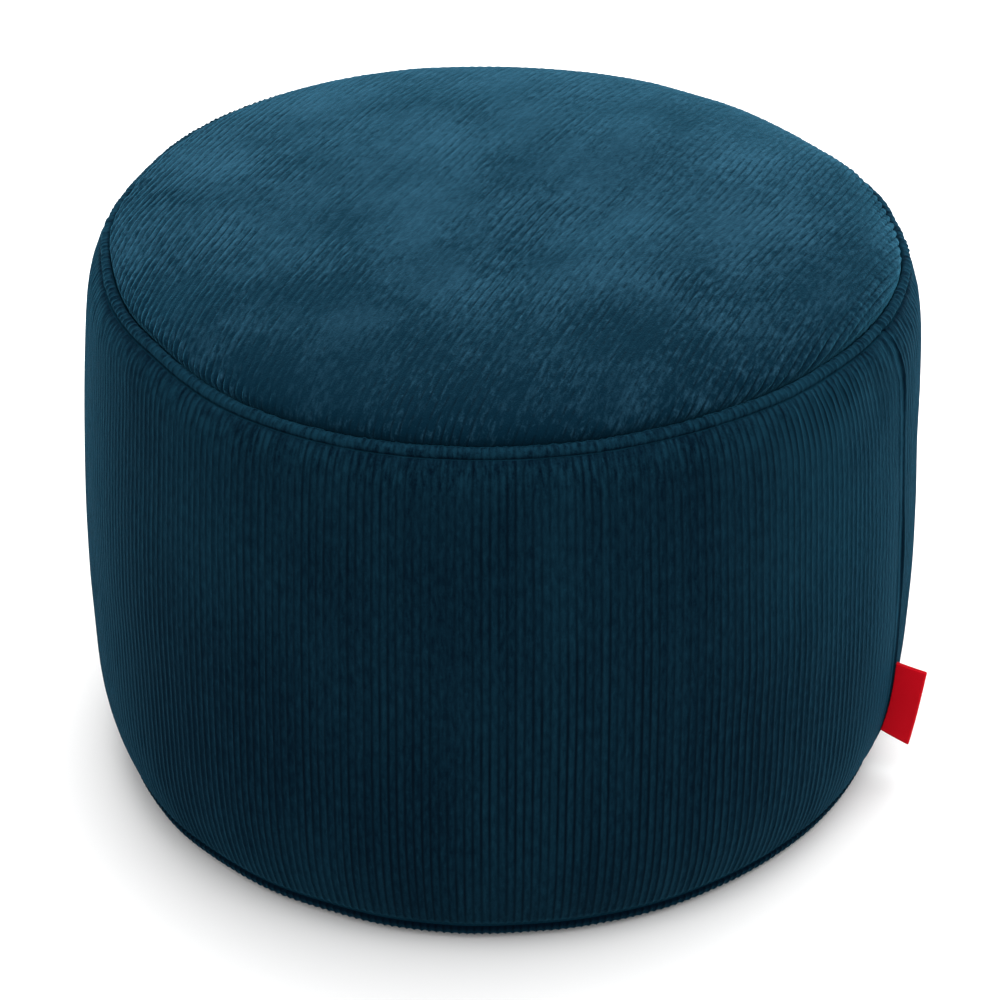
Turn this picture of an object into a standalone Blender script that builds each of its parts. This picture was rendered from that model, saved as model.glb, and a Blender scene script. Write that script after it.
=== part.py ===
"""Bean bag footstool: a round, bead-filled pouf covered in wide-rib cord cloth.

The cover is a crowned top panel, a side panel whose two edges are turned over and
stitched down as welts, and a flat base panel. A small folded tab is sewn into the
side seam. Each panel is solid and has the shape that the filled cover takes.

Metres, +Z up. The origin is on the floor under the middle, and the front faces -Y.
Angles run round the footstool from the front towards +X.
"""

import bmesh
import bpy
import numpy as np

# The side: a belly that curves in to the floor, leans in slowly, and turns a tight shoulder to the seam.
BELLY_RADIUS = 0.250
BELLY_HEIGHT = 0.112
FLOOR_RADIUS = 0.2316
FLOOR_CURVE = 3.4
SEAM_RADIUS = 0.2226
SEAM_HEIGHT = 0.3277
LEAN = 0.0133
SHOULDER_CURVE = 30.0

# The top panel's crown above the seam.
CROWN_RISE = 0.030
CROWN_CURVE = 2.2
CROWN_TILT = 0.019
CROWN_STEPS = (80, 70, 60, 50, 40, 31, 23, 16, 10)

# The top panel's rim, as heights over and under the seam.
RIM_ABOVE = 0.002
RIM_BELOW = 0.001

# Heights of the side's points, between the two welts' stitched grooves.
WALL_HEIGHTS = (
    *(0.322, 0.315, 0.303, 0.280, 0.250, 0.215, 0.180, 0.145),
    *(0.112, 0.085, 0.062, 0.043, 0.028, 0.018, 0.0125),
)

# The two welts and the stitched grooves beside them.
WELT_WIDTH = 0.007
WELT_PROUD = 0.0010
WELT_STEPS = (0.15, 0.4, 0.65, 0.88)
GROOVE_DEPTH = 0.0013
FLOOR_WELT_TOP = 0.010
FLOOR_WELT_LOW = 0.001
FLOOR_WELT_EASE = 0.001

# The notch behind the top welt, where the top panel's rim tucks in.
NOTCH_DEPTH = 0.0025
NOTCH_LIP = 0.0006

# The base panel, and the gap that every piece keeps from its neighbour.
BASE_RADIUS = 0.2262
BASE_THICKNESS = 0.0033
GAP = 0.0003

# The base panel's eased edge. Each row is (distance in from the rim, height).
BASE_EDGE = ((0.0007, BASE_THICKNESS), (0, 0.0024), (0, 0.0014), (0.0020, 0))

# The upright side seam: a topstitched band, with a shallow groove on each side of it.
SIDE_SEAM_ANGLE = np.radians(71.5)
SIDE_SEAM_DEPTH = 0.0010
SIDE_SEAM_GROOVE = 0.0012
SKIN = 0.003

# The folded tab in the side seam.
TAB_LOW = 0.031
TAB_HIGH = 0.083
TAB_REACH = 0.0195
TAB_FOLD = 0.0007
TAB_CLOTH = 0.0010
TAB_DROOP = np.radians(7.5)
TAB_SWING = np.radians(4)
TAB_ROWS = 8
TAB_COLUMNS = 20

# Each panel's points stand in this many columns, and the columns crowd together at the side seam.
COLUMNS = 96
CROWDING = 0.8

# How the filled cover departs from a true round, as waves round its angle. Each row is
# (waves, cosine share, sine share): shares of the radius, or metres for the seam's rise. The seam's own
# waves in radius begin at SEAM_WAVES_FROM, a share of the height.
OUT_OF_ROUND = ((2, -0.0062, -0.0110),)
SEAM_RADIUS_WAVES = ((1, 0.0, 0.0090), (2, -0.0072, -0.0052))
SEAM_RISE_WAVES = ((1, 0.0, -0.0085), (2, 0.0, 0.0052))
SEAM_WAVES_FROM = 0.6
FLOOR_SHIFT = -0.0023

# Where the top seam is pushed out by the filling. Each row is (angle in degrees, half width in degrees,
# share of the radius, rise, share of the height where it begins).
SEAM_BULGES = (
    (109, 9, 0.0035, 0.0050, 0.6),
    (92.5, 19, 0.0215, -0.0022, 0.97),
    (-91, 9.5, 0.0135, -0.0005, 0.97),
    (-57, 10, -0.0010, 0.0040, 0.97),
)

# Soft dips in the crown. Each row is (x, y, half length, half width, turn in degrees, depth).
CROWN_DIPS = (
    (0.045, -0.020, 0.095, 0.040, 52, 0.0035),
    (-0.110, -0.015, 0.060, 0.045, 20, 0.0015),
    (0.150, 0.110, 0.055, 0.040, -35, 0.0015),
)

# Soft dents in the side. Each row is (angle in degrees, height, half width in degrees, half height, depth).
SIDE_DENTS = (
    (-28, 0.200, 9, 0.080, 0.0016),
    (-7, 0.150, 6, 0.060, 0.0012),
    (22, 0.150, 8, 0.070, 0.0015),
    (60, 0.295, 5, 0.018, 0.0020),
    (130, 0.190, 12, 0.080, 0.0016),
    (205, 0.160, 14, 0.070, 0.0018),
)

CORD_CLOTH = (0.018, 0.075, 0.115)
BASE_CLOTH = (0.012, 0.045, 0.070)
TAB_TAPE = (0.520, 0.008, 0.020)
CLOTH_ROUGHNESS = 0.95
TAPE_ROUGHNESS = 0.7
SHARP_EDGE = np.radians(50)


def waves(angle, rows):
    """Sum of the rows' waves round the footstool."""
    return sum(c * np.cos(n * angle) + s * np.sin(n * angle) for n, c, s in rows)


def wall_radius(height):
    """The side's radius: the belly's, less the curve to the floor, the lean and the shoulder."""
    down = np.clip((BELLY_HEIGHT - height) / BELLY_HEIGHT, 0, 1)
    up = np.clip((height - BELLY_HEIGHT) / (SEAM_HEIGHT - BELLY_HEIGHT), 0, 1)
    shoulder = BELLY_RADIUS - LEAN - SEAM_RADIUS
    tuck = BELLY_RADIUS - FLOOR_RADIUS
    return BELLY_RADIUS - LEAN * up**2 - shoulder * up**SHOULDER_CURVE - tuck * down**FLOOR_CURVE


def bell(distance, half_width):
    """A soft hump: one at no distance, falling to nothing past about twice the half width."""
    return np.exp(-((distance / half_width) ** 2))


def grown(share, lowest):
    """A smooth step: nothing up to the lowest share of the height, and one at the seam."""
    up = np.clip((share - lowest) / (1 - lowest), 0, 1)
    return up * up * (3 - 2 * up)


def settle(points):
    """Moves turned points to where the filled, slightly slumped cover puts them."""
    x, y, z = points.T
    angle = np.arctan2(x, -y)
    share = np.clip(z / SEAM_HEIGHT, 0, 1)
    above = np.clip((z - SEAM_HEIGHT) / CROWN_RISE, 0, 1)
    outward = np.clip(np.hypot(x, y) / SEAM_RADIUS, 0, 1) ** 2

    radius_change = grown(share, SEAM_WAVES_FROM) * waves(angle, SEAM_RADIUS_WAVES)
    height_change = waves(angle, SEAM_RISE_WAVES)
    for degrees, half_width, wider, higher, lowest in SEAM_BULGES:
        near = bell(np.degrees(wrapped(angle - np.radians(degrees))), half_width)
        radius_change = radius_change + grown(share, lowest) * wider * near
        height_change = height_change + higher * near
    wide = (1 + waves(angle, OUT_OF_ROUND)) * (1 + radius_change)
    rise = share * (1 - above) * outward * height_change

    dip = np.zeros(len(points))
    for centre_x, centre_y, long, short, turn, depth in CROWN_DIPS:
        c, s = np.cos(np.radians(turn)), np.sin(np.radians(turn))
        along = (x - centre_x) * c + (y - centre_y) * s
        across = (y - centre_y) * c - (x - centre_x) * s
        dip += depth * bell(along, long) * bell(across, short)

    shift = FLOOR_SHIFT * (1 - share) ** 2
    return np.column_stack((x * wide + shift, y * wide, z + rise + above * (CROWN_TILT * x - dip)))


def dent(points):
    """Presses the soft dents and the side seam's two grooves into the side's outer face."""
    x, y, z = points.T
    angle = np.arctan2(x, -y)
    radius = np.hypot(x, y)
    outer = (radius > wall_radius(z) - SKIN) & (z < SEAM_HEIGHT - WELT_PROUD)
    depth = np.zeros(len(points))
    for degrees, height, half_width, half_height, deep in SIDE_DENTS:
        turn = np.degrees(wrapped(angle - np.radians(degrees)))
        depth += deep * bell(turn, half_width) * bell(z - height, half_height)
    aside = np.abs(wrapped(angle - SIDE_SEAM_ANGLE)) * BELLY_RADIUS
    depth += SIDE_SEAM_DEPTH * bell(aside - first_column_step(), SIDE_SEAM_GROOVE)
    scale = 1 - outer * depth / np.maximum(radius, SKIN)
    return np.column_stack((x * scale, y * scale, z))


def wrapped(angle):
    """The same angle between minus and plus half a turn."""
    return (angle + np.pi) % (2 * np.pi) - np.pi


def crowded(angle):
    """Draws a panel's even columns together at the side seam."""
    away = wrapped(angle - np.pi / 2)
    return SIDE_SEAM_ANGLE + away - CROWDING * np.sin(away)


def first_column_step():
    """Distance along the belly from the side seam to the next column."""
    return BELLY_RADIUS * (crowded(np.pi / 2 + 2 * np.pi / COLUMNS) - SIDE_SEAM_ANGLE)


def cloth_material(name, colour, roughness):
    """A matt cloth finish."""
    material = bpy.data.materials.new(name)
    material.use_nodes = True
    shader = material.node_tree.nodes["Principled BSDF"]
    shader.inputs["Base Color"].default_value = (*colour, 1)
    shader.inputs["Roughness"].default_value = roughness
    shader.inputs["Metallic"].default_value = 0
    return material


def turned_panel(name, profile, colour, shape):
    """Turns a closed profile of (radius, height) rows round Z, then moves its points with shape."""
    mesh = bpy.data.meshes.new(name)
    points = [(radius, 0, height) for radius, height in profile]
    mesh.from_pydata(points, [(i, i + 1) for i in range(len(points) - 1)], [])
    turned = bpy.data.objects.new(name, mesh)
    footstool.objects.link(turned)
    screw = turned.modifiers.new("Turn", "SCREW")
    screw.steps = COLUMNS
    screw.render_steps = COLUMNS
    screw.use_merge_vertices = True
    screw.merge_threshold = 0.00005
    screw.use_smooth_shade = True

    bpy.context.view_layer.update()
    solid = bpy.data.meshes.new_from_object(turned.evaluated_get(bpy.context.evaluated_depsgraph_get()))
    turned.modifiers.clear()
    turned.data = solid
    bpy.data.meshes.remove(mesh)
    solid.name = name
    flat = np.empty(len(solid.vertices) * 3)
    solid.vertices.foreach_get("co", flat)
    points = flat.reshape(-1, 3)
    angle = crowded(np.arctan2(points[:, 0], -points[:, 1]))
    radius = np.hypot(points[:, 0], points[:, 1])
    points = np.column_stack((radius * np.sin(angle), -radius * np.cos(angle), points[:, 2]))
    solid.vertices.foreach_set("co", shape(points).ravel())
    solid.update()
    solid.materials.append(cloth_material(name, colour, CLOTH_ROUGHNESS))
    solid.set_sharp_from_angle(angle=SHARP_EDGE)
    return turned


def make_top_panel():
    """The crowned round panel. Its rim stands in the notch behind the top welt."""
    rim = SEAM_RADIUS - NOTCH_LIP - GAP
    seat = SEAM_HEIGHT - NOTCH_DEPTH + GAP
    profile = [(0, SEAM_HEIGHT + CROWN_RISE)]
    for degrees in CROWN_STEPS:
        turn = np.radians(degrees)
        radius = SEAM_RADIUS * np.cos(turn) ** (2 / CROWN_CURVE)
        profile.append((radius, SEAM_HEIGHT + CROWN_RISE * np.sin(turn) ** (2 / CROWN_CURVE)))
    profile += [(rim - GAP, SEAM_HEIGHT + RIM_ABOVE), (rim, SEAM_HEIGHT - RIM_BELOW)]
    profile += [(rim - GAP, seat), (0, seat)]
    return turned_panel("top_panel", profile, CORD_CLOTH, settle)


def make_side_panel():
    """The filled side, from the notch behind the top welt to the flat underside inside the floor welt."""
    seam = np.array((SEAM_RADIUS, SEAM_HEIGHT))
    stitch_height = SEAM_HEIGHT - WELT_WIDTH / 2
    stitch = np.array((wall_radius(stitch_height), stitch_height))
    band = stitch - seam
    out_of_band = np.array((-band[1], band[0])) / np.hypot(*band)
    notch = SEAM_HEIGHT - NOTCH_DEPTH
    lip = SEAM_RADIUS - NOTCH_LIP

    profile = [(0, notch), (lip, notch), (lip + GAP, SEAM_HEIGHT - GAP)]
    profile += [tuple(seam + share * band + welt_ridge(share) * out_of_band) for share in WELT_STEPS]
    profile.append(tuple(stitch - GROOVE_DEPTH * out_of_band))
    for height in WALL_HEIGHTS:
        profile.append((wall_radius(height), height))
    profile.append((wall_radius(FLOOR_WELT_TOP) - GROOVE_DEPTH, FLOOR_WELT_TOP))
    for share in WELT_STEPS:
        height = FLOOR_WELT_TOP + share * (FLOOR_WELT_LOW - FLOOR_WELT_TOP)
        profile.append((wall_radius(height) + welt_ridge(share), height))

    under = BASE_THICKNESS + GAP
    profile += [(FLOOR_RADIUS - FLOOR_WELT_EASE, FLOOR_WELT_LOW), (BASE_RADIUS + 2 * GAP, FLOOR_WELT_LOW)]
    profile += [(BASE_RADIUS + GAP, under), (0, under)]
    return turned_panel("side_panel", profile, CORD_CLOTH, lambda points: settle(dent(points)))


def welt_ridge(share):
    """How far a welt stands proud at a share of the way across it."""
    return WELT_PROUD * np.sin(np.pi * share) ** 0.7


def make_base_panel():
    """The flat round panel that the footstool stands on, with its edge eased."""
    profile = [(0, BASE_THICKNESS)]
    profile += [(BASE_RADIUS - inward, height) for inward, height in BASE_EDGE]
    profile.append((0, 0))
    return turned_panel("base_panel", profile, BASE_CLOTH, settle)


def make_side_tab():
    """A tape folded once: out from the side seam, round a small fold, and back beside itself."""
    height = np.linspace(TAB_LOW, TAB_HIGH, TAB_ROWS)
    radius = wall_radius(height)
    across = np.array((np.cos(SIDE_SEAM_ANGLE), np.sin(SIDE_SEAM_ANGLE), 0))
    outward = np.array((np.sin(SIDE_SEAM_ANGLE), -np.cos(SIDE_SEAM_ANGLE), 0))
    root = settle(radius[:, None] * outward + height[:, None] * (0, 0, 1))

    up = np.gradient(root, axis=0)
    up /= np.linalg.norm(up, axis=1)[:, None]
    outward = np.cross(across, up) * np.sign(np.cross(across, up) @ outward)[:, None]
    outward = outward * np.cos(TAB_SWING) - across * np.sin(TAB_SWING)
    outward = outward * np.cos(TAB_DROOP) - up * np.sin(TAB_DROOP)

    mesh = bpy.data.meshes.new("side_tab")
    tape = bmesh.new()
    bmesh.ops.create_grid(tape, x_segments=TAB_COLUMNS, y_segments=TAB_ROWS - 1, size=0.5)
    for point in tape.verts:
        row = round((point.co.y + 0.5) * (TAB_ROWS - 1))
        reach, aside = tape_section(point.co.x + 0.5)
        point.co = root[row] + reach * outward[row] + aside * across
    tape.to_mesh(mesh)
    tape.free()
    mesh.shade_smooth()
    mesh.materials.append(cloth_material("side_tab", TAB_TAPE, TAPE_ROUGHNESS))
    tab = bpy.data.objects.new("side_tab", mesh)
    footstool.objects.link(tab)
    thicken = tab.modifiers.new("Tape", "SOLIDIFY")
    thicken.thickness = TAB_CLOTH
    thicken.offset = 0
    return tab


def tape_section(share):
    """(reach, aside) at a share of the way along the folded tape: out, round the fold, and back."""
    start = GAP + TAB_CLOTH / 2
    end = TAB_REACH - TAB_FOLD
    out_share, back_share = 0.35, 0.65
    if share <= out_share:
        return start + (end - start) * share / out_share, -TAB_FOLD
    if share >= back_share:
        return start + (end - start) * (1 - share) / (1 - back_share), TAB_FOLD
    turn = np.pi * ((share - out_share) / (back_share - out_share) - 0.5)
    return end + TAB_FOLD * np.cos(turn), TAB_FOLD * np.sin(turn)


for old in list(bpy.data.objects):
    bpy.data.objects.remove(old, do_unlink=True)
footstool = bpy.data.collections.new("bean_bag_footstool")
bpy.context.scene.collection.children.link(footstool)
make_top_panel()
make_side_panel()
make_base_panel()
make_side_tab()
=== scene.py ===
import bpy
import numpy as np
from mathutils import Matrix, Vector


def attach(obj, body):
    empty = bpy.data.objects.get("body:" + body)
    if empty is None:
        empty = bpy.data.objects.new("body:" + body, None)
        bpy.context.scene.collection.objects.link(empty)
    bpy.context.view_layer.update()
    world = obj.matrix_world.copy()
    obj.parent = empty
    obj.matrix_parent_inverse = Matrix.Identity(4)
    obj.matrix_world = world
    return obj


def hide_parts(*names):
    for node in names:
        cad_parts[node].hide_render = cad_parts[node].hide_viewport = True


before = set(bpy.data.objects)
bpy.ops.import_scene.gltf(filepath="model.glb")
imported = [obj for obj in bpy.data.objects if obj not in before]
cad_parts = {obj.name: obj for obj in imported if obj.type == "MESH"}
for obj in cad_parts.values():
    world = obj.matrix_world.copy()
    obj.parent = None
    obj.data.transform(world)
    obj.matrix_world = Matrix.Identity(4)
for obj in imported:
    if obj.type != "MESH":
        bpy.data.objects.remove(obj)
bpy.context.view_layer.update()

# ---------------------------------------------------------------------------------------------
# Side panel. One long strip of wide-rib cord goes round the footstool with its ribs upright.
# Its top and bottom edges are turned in and stitched down as narrow welts, the loose bead
# filling rounds it out, and its two ends meet in one upright seam near the right-hand edge.
# ---------------------------------------------------------------------------------------------
# The form. Lengths are in metres, and angles run round from the front towards +X.
BELLY_RADIUS = 0.250
BELLY_HEIGHT = 0.112
FLOOR_RADIUS = 0.2316
FLOOR_CURVE = 3.4
SEAM_RADIUS = 0.2226
SEAM_HEIGHT = 0.3277
LEAN = 0.0133
SHOULDER_CURVE = 30
CROWN_RISE = 0.030
CROWN_TILT = 0.019
FLOOR_SHIFT = -0.0023

# How the form departs from a true round. Each row is (waves round it, cosine share, sine share).
OUT_OF_ROUND = ((2, -0.0062, -0.0110),)
SEAM_RADIUS_WAVES = ((1, 0.0, 0.0090), (2, -0.0072, -0.0052))
SEAM_RISE_WAVES = ((1, 0.0, -0.0085), (2, 0.0, 0.0052))
SEAM_WAVES_FROM = 0.6

# Bulges of the seam. Each row is (angle and half width in degrees, widening, rise, and the share
# of the height where it begins).
SEAM_BULGES = (
    (109, 9, 0.0035, 0.0050, 0.6),
    (92.5, 19, 0.0215, -0.0022, 0.97),
    (-91, 9.5, 0.0135, -0.0005, 0.97),
    (-57, 10, -0.0010, 0.0040, 0.97),
)

# Soft dips of the crown. Each row is (x, y, half length, half width, turn in degrees, depth).
CROWN_DIPS = (
    (0.045, -0.020, 0.095, 0.040, 52, 0.0035),
    (-0.110, -0.015, 0.060, 0.045, 20, 0.0015),
    (0.150, 0.110, 0.055, 0.040, -35, 0.0015),
)

# Soft dents of the side. Each row is (angle and half width in degrees, height, half height, depth).
SIDE_DENTS = (
    (-28, 9, 0.200, 0.080, 0.0016),
    (-7, 6, 0.150, 0.060, 0.0012),
    (22, 8, 0.150, 0.070, 0.0015),
    (60, 5, 0.295, 0.018, 0.0020),
    (130, 12, 0.190, 0.080, 0.0016),
    (205, 14, 0.160, 0.070, 0.0018),
)

# The ribs, or wales. As angles in radians: how far they crowd together towards the left, what makes
# up for that at the side seam, how far they wander, and how far the sewing draws them aside
# between two heights at the shoulder.
WALES_ROUND = 330
WALE_PITCH = 0.00476
WALE_RISE = 0.0006
COLUMNS_A_WALE = 5
WALE_CROWDING, CROWDING_AT_SEAM = 0.061, 0.0187
WALE_WANDER = 0.0016
DRAWN_RIGHT, DRAWN_LEFT = 0.040, 0.045
SHOULDER_FROM, SHOULDER_TO = 0.285, 0.324

# The welts, their stitched grooves and the hidden edges. A groove's row is (height, depth).
WELT_WIDTH = 0.0070
WELT_PROUD = 0.0023
WELT_ROWS = 9
STITCH_DEPTH = 0.0015
UNDER_WELT_DEPTH = 0.0006
FLOOR_GROOVE = ((0.0113, 0.0016), (0.0100, 0.0012))
FLOOR_WELT_TOP, FLOOR_WELT_LOW = 0.0096, 0.0010
FLOOR_WELT_PROUD = 0.0014
HIDDEN_EDGE_DEPTH = 0.0025
HIDDEN_FOOT_HEIGHT = 0.0036
FLOOR_CLEARANCE = 0.0006

# The upright seam, the topstitching in front of it and the ridge between the two.
SIDE_SEAM = np.radians(71.5)
SIDE_SEAM_LEAN = np.radians(-1.5)
SIDE_SEAM_DEPTH = 0.0009
TOPSTITCH_WALES = 1.6
TOPSTITCH_DEPTH = 0.0008
RIDGE_RISE = 0.0003

# Low relief: lumps of the filling, gathers that fade below the top welt, crumpled cloth just under
# it, more so where the pile stands in fingers, and crumbs on the welt itself.
LUMP_DEPTH = 0.0006
GATHER_DEPTH = 0.0008
GATHER_REACH = 0.022
CRUMPLE_RISE = 0.0005
FINGER_RISE = 0.0004
CRUMB_RISE = 0.00036

# Stretches of the side, each as (angle, half width) in degrees.
GATHERED = (62, 24)
FINGERED = (52, 15)
FLAT_RIGHT, FLAT_LEFT = (70, 18), (-70, 19)
SMOOTH_WELT_RIGHT, SMOOTH_WELT_LEFT = (118, 28), (-104, 20)
# Where painted light lifts the left welt out of the shade the lamps leave it in.
PAINTED_LIGHT_WELT = (-57, 26)
# Where painted shade darkens the right and left flanks, which the sheen lights at a grazing view.
PAINTED_SHADE_RIGHT, PAINTED_SHADE_LEFT = (82, 17), (-73, 19)

# Lighter pile from the shoulder down. Each row is (angle and half width in degrees, the heights
# between which it comes in, change of tone).
LIGHTER_PILE = (
    (47, 11, 0.10, 0.24, 0.38),
    (-38, 10, 0.16, 0.24, 0.16),
    (40, 10, 0.18, 0.27, 0.13),
)

# Patches of painted shade on the side's pile. Each row is (angle and half width in degrees,
# height, half height, change of tone).
SIDE_SHADE_PATCHES = (
    (-43, 20, 0.195, 0.065, -0.13),
    (-25, 5, 0.250, 0.035, -0.17),
    (-6, 6, 0.258, 0.030, -0.14),
    (23, 7, 0.298, 0.020, -0.12),
    (55, 9, 0.190, 0.070, -0.13),
    (58, 5, 0.272, 0.022, -0.20),
)


def wrapped(angle):
    """The same angle between minus and plus half a turn."""
    return (angle + np.pi) % (2 * np.pi) - np.pi


def bell(distance, half_width):
    """A soft hump: e to the minus square of distance over half width, so one at its middle."""
    return np.exp(-((distance / half_width) ** 2))


def facing(angle, degrees, half_width):
    """A bell round the footstool, with its middle and its half width given in degrees."""
    return bell(wrapped(angle - np.radians(degrees)), np.radians(half_width))


def oval(x, y, centre_x, centre_y, long, short, degrees):
    """A soft oval patch: a bell along its length, turned by some degrees, times one across it."""
    c, s = np.cos(np.radians(degrees)), np.sin(np.radians(degrees))
    x, y = x - centre_x, y - centre_y
    return bell(x * c + y * s, long) * bell(y * c - x * s, short)


def ramp(value, start, end):
    """A smooth step from 0 at start to 1 at end, which may be the lower of the two: three times
    the square of the way between them, less twice its cube."""
    t = np.clip((value - start) / (end - start), 0, 1)
    return t * t * (3 - 2 * t)


def waves(angle, rows):
    """Sum of the rows' cosine and sine waves round the footstool."""
    return sum(c * np.cos(n * angle) + s * np.sin(n * angle) for n, c, s in rows)


def uneven(u, v, seed):
    """Smooth hand-made unevenness from -1 to 1: random heights on whole numbers of u and v,
    joined by ramps."""
    size = 512
    heights = np.random.default_rng(seed).uniform(-1, 1, (size, size))
    u, v = np.broadcast_arrays(u, v)
    iu, iv = np.floor(u).astype(int), np.floor(v).astype(int)
    fu, fv = ramp(u - iu, 0, 1), ramp(v - iv, 0, 1)
    low_u, low_v, high_u, high_v = iu % size, iv % size, (iu + 1) % size, (iv + 1) % size
    near = heights[low_u, low_v] * (1 - fu) + heights[high_u, low_v] * fu
    far = heights[low_u, high_v] * (1 - fu) + heights[high_u, high_v] * fu
    return near * (1 - fv) + far * fv


def wall_radius(height):
    """The belly's radius, less a power curve down to the floor, a square curve of lean and a
    tight shoulder."""
    down = np.clip((BELLY_HEIGHT - height) / BELLY_HEIGHT, 0, 1)
    up = np.clip((height - BELLY_HEIGHT) / (SEAM_HEIGHT - BELLY_HEIGHT), 0, 1)
    shoulder = BELLY_RADIUS - LEAN - SEAM_RADIUS
    tuck = BELLY_RADIUS - FLOOR_RADIUS
    return BELLY_RADIUS - LEAN * up**2 - shoulder * up**SHOULDER_CURVE - tuck * down**FLOOR_CURVE


def settled(radius, angle, height):
    """Where the slumped filling puts a point: out of round by two waves, the seam wavy in radius
    and height and bulging here and there, the crown tilted and dipped, and the foot shifted a
    little to the left."""
    share = np.clip(height / SEAM_HEIGHT, 0, 1)
    above = np.clip((height - SEAM_HEIGHT) / CROWN_RISE, 0, 1)
    outward = np.clip(radius / SEAM_RADIUS, 0, 1) ** 2
    widen = ramp(share, SEAM_WAVES_FROM, 1) * waves(angle, SEAM_RADIUS_WAVES)
    rise = waves(angle, SEAM_RISE_WAVES)
    for degrees, half_width, wider, higher, lowest in SEAM_BULGES:
        bulge = facing(angle, degrees, half_width)
        widen = widen + ramp(share, lowest, 1) * wider * bulge
        rise = rise + higher * bulge
    wide = (1 + waves(angle, OUT_OF_ROUND)) * (1 + widen)
    rise = share * (1 - above) * outward * rise

    x, y = radius * np.sin(angle), -radius * np.cos(angle)
    dip = sum(depth * oval(x, y, *patch) for *patch, depth in CROWN_DIPS)
    shift = FLOOR_SHIFT * (1 - share) ** 2
    crown = above * (CROWN_TILT * x - dip)
    return np.stack((x * wide + shift, y * wide, height + rise + crown), -1)


def towards_grooves(place):
    """Places counted in wales, with the columns inside each wale moved a little towards its two
    grooves, where its cross-section turns most sharply."""
    inside = np.interp(place % 1, (0, 0.2, 0.4, 0.6, 0.8, 1), (0, 0.17, 0.39, 0.61, 0.83, 1))
    return np.floor(place) + inside


def wale_height(wale):
    """A rib's rounded cross-section against its place in wales: 0 in the groove at whole numbers,
    1 on the back, as the sine of half a turn of the place, a little filled out."""
    return np.abs(np.sin(np.pi * wale)) ** 0.9


def unit(vectors):
    """The same vectors with length one."""
    return vectors / np.maximum(np.linalg.norm(vectors, axis=-1, keepdims=True), 1e-12)


def outward_normals(points):
    """Unit normals of a grid of points that closes round its columns, from the cross product of
    its two central differences."""
    across = np.roll(points, -1, axis=1) - np.roll(points, 1, axis=1)
    return unit(np.cross(across, np.gradient(points, axis=0)))


def four_corners(grid):
    """The corners of each square of a grid, in order round it."""
    return np.stack((grid[:-1, :-1], grid[:-1, 1:], grid[1:, 1:], grid[1:, :-1]), 2)


def cloth_piece(name, points, uv, closed_round, lids=(), brushing=(), sewn=None):
    """Joins a grid of points, rows by columns, into one mesh with its UV map. closed_round joins
    the last column to the first. Each lid is (the grid's points in order, centre point), closed
    by a fan. brushing gives named values for each point. Faces whose corners are all sewn take
    the second material, the dark one that paints the shade in the seams."""
    rows, columns = points.shape[:2]
    index = np.arange(rows * columns).reshape(rows, columns)
    if closed_round:
        index = np.concatenate((index, index[:, :1]), axis=1)
    corners = points.reshape(-1, 3)
    faces = four_corners(index).reshape(-1, 4).tolist()
    corner_uv = [four_corners(uv).reshape(-1, 2)]
    for ring, centre in lids:
        hub = len(corners)
        corners = np.vstack((corners, centre))
        faces += np.stack((np.full(len(ring), hub), ring, np.roll(ring, -1)), -1).tolist()
        corner_uv.append(np.zeros((3 * len(ring), 2)))
    mesh = bpy.data.meshes.new(name)
    mesh.from_pydata(corners.tolist(), [], faces)
    wales = mesh.uv_layers.new(name="wales")
    wales.data.foreach_set("uv", np.concatenate(corner_uv).ravel().astype(np.float32))
    mesh.shade_smooth()
    for label, values in brushing:
        values = np.append(np.broadcast_to(values, points.shape[:2]), [0.0] * len(lids))
        held = mesh.attributes.new(label, "FLOAT", "POINT")
        held.data.foreach_set("value", values.astype(np.float32))
    if sewn is not None:
        under = np.append(np.broadcast_to(sewn, points.shape[:2]), [True] * len(lids))
        slots = [int(under[face].all()) for face in faces]
        mesh.polygons.foreach_set("material_index", slots)
    piece = bpy.data.objects.new(name, mesh)
    bpy.context.scene.collection.objects.link(piece)
    return piece


# Rows down the strip, each as (radius, height), in seven bands: the hidden edge in the notch, the
# top welt, its stitched groove, the wall, the floor welt's stitched groove, the floor welt, and
# the hidden edge under the base.
welt_rows = np.linspace(0.05, 0.95, WELT_ROWS)
stitch_height = SEAM_HEIGHT - WELT_WIDTH / 2
seam_edge = np.array((SEAM_RADIUS, SEAM_HEIGHT))
stitch_edge = np.array((wall_radius(stitch_height), stitch_height))
welt_run = stitch_edge - seam_edge
welt_out = np.array((-welt_run[1], welt_run[0])) / np.hypot(*welt_run)
welt_bulge = WELT_PROUD * np.sin(np.pi * welt_rows)[:, None] ** 0.6
top_welt = seam_edge + welt_rows[:, None] * welt_run + welt_bulge * welt_out
top_stitch = (stitch_edge - STITCH_DEPTH * welt_out)[None]
shoulder_heights = (0.3232, 0.3218, *np.linspace(0.3195, 0.300, 6))
foot_heights = (0.0225, 0.0170, 0.0135)
wall_heights = np.concatenate((shoulder_heights, np.linspace(0.292, 0.030, 26), foot_heights))
wall_rows = np.stack((wall_radius(wall_heights), wall_heights), -1)
wall_rows[0, 0] -= UNDER_WELT_DEPTH
floor_stitch = np.array([(wall_radius(at) - deep, at) for at, deep in FLOOR_GROOVE])
floor_rows = np.linspace(0.08, 0.92, 6)
floor_heights = FLOOR_WELT_TOP + floor_rows * (FLOOR_WELT_LOW - FLOOR_WELT_TOP)
floor_bulge = FLOOR_WELT_PROUD * np.sin(np.pi * floor_rows) ** 0.7
floor_welt = np.stack((wall_radius(floor_heights) + floor_bulge, floor_heights), -1)
hidden_top = np.array(
    (
        (SEAM_RADIUS + 0.0001, SEAM_HEIGHT - HIDDEN_EDGE_DEPTH),
        (SEAM_RADIUS + 0.0002, SEAM_HEIGHT - 0.0010),
    )
)
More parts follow.
